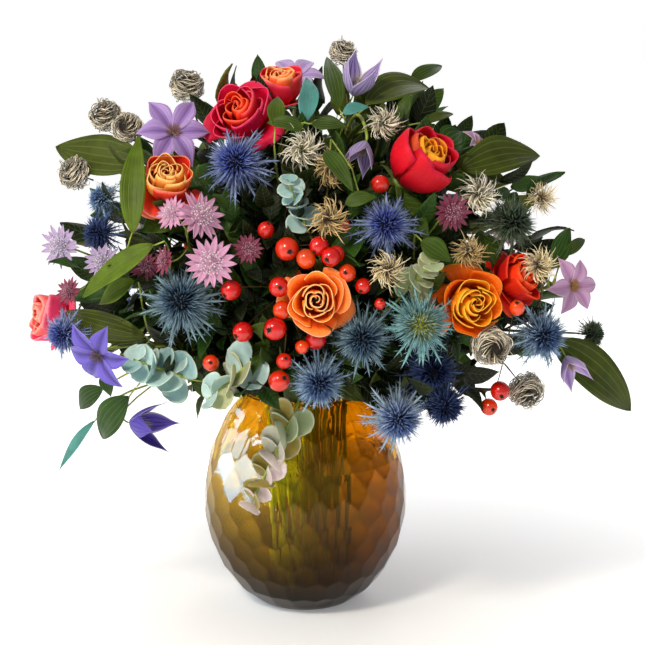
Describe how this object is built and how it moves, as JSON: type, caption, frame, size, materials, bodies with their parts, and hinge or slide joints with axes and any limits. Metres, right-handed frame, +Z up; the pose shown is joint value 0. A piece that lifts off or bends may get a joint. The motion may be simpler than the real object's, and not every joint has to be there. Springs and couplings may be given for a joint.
{
  "type": "floral table centerpiece",
  "caption": "Loose garden bouquet of roses, clematis, sea holly, astrantia, seed heads, hips and eucalyptus, standing in water in a faceted amber glass vase.",
  "frame": {"origin": "middle of the vase's flat foot, on the table", "axes": "+Z up along the vase's axis, -Y towards the viewer of the front, +X to that viewer's right"},
  "size_m": [0.5806, 0.4145, 0.5636],
  "materials": {
    "amber_glass": "gloss",
    "water": "gloss",
    "green_leaf": "satin",
    "orange_petal": "matte",
    "red_petal": "matte",
    "pink_petal": "matte",
    "violet_petal": "matte",
    "thistle_bract": "satin",
    "silky_seed": "matte",
    "papery_bract": "matte",
    "red_hip": "gloss",
    "grey_leaf": "matte"
  },
  "bodies": {
    "root": {"astrantia_centre": "papery_bract", "astrantia_left": "papery_bract", "astrantia_right": "papery_bract", "clematis_back": "violet_petal", "clematis_far_right": "violet_petal", "clematis_left_bell": "violet_petal", "clematis_left_low": "violet_petal", "clematis_left_top": "violet_petal", "clematis_peak": "violet_petal", "clematis_right_bell": "violet_petal", "clematis_right_low": "violet_petal", "clematis_right_peak": "violet_petal", "clematis_top_bell": "violet_petal", "eucalyptus_centre": "grey_leaf", "eucalyptus_drooping": "grey_leaf", "eucalyptus_left": "grey_leaf", "eucalyptus_low": "grey_leaf", "eucalyptus_right": "grey_leaf", "hips_centre": "red_hip", "hips_left": "red_hip", "hips_right": "red_hip", "rose_back_left_bloom": "orange_petal", "rose_back_left_stem": "green_leaf", "rose_back_right_bloom": "red_petal", "rose_back_right_stem": "green_leaf", "rose_centre_bloom": "orange_petal", "rose_centre_stem": "green_leaf", "rose_far_left_bloom": "pink_petal", "rose_far_left_stem": "green_leaf", "rose_far_right_bloom": "red_petal", "rose_far_right_stem": "green_leaf", "rose_low_right_bloom": "orange_petal", "rose_low_right_stem": "green_leaf", "rose_right_bloom": "red_petal", "rose_right_stem": "green_leaf", "rose_top_centre_bloom": "orange_petal", "rose_top_centre_stem": "green_leaf", "rose_top_left_bloom": "pink_petal", "rose_top_left_stem": "green_leaf", "rose_upper_left_bloom": "orange_petal", "rose_upper_left_stem": "green_leaf", "seedhead_back": "silky_seed", "seedhead_centre": "silky_seed", "seedhead_left": "silky_seed", "seedhead_right": "silky_seed", "seedhead_top_right": "silky_seed", "thistle_back": "thistle_bract", "thistle_centre_low": "thistle_bract", "thistle_left": "thistle_bract", "thistle_left_centre": "thistle_bract", "thistle_right_low": "thistle_bract", "thistle_right_top": "thistle_bract", "vase": "amber_glass", "vine_back": "green_leaf", "vine_left_low": "green_leaf", "vine_left_top": "green_leaf", "vine_right": "green_leaf", "vine_right_top": "green_leaf", "vine_top": "green_leaf", "water": "water"}
  },
  "joints": []
}
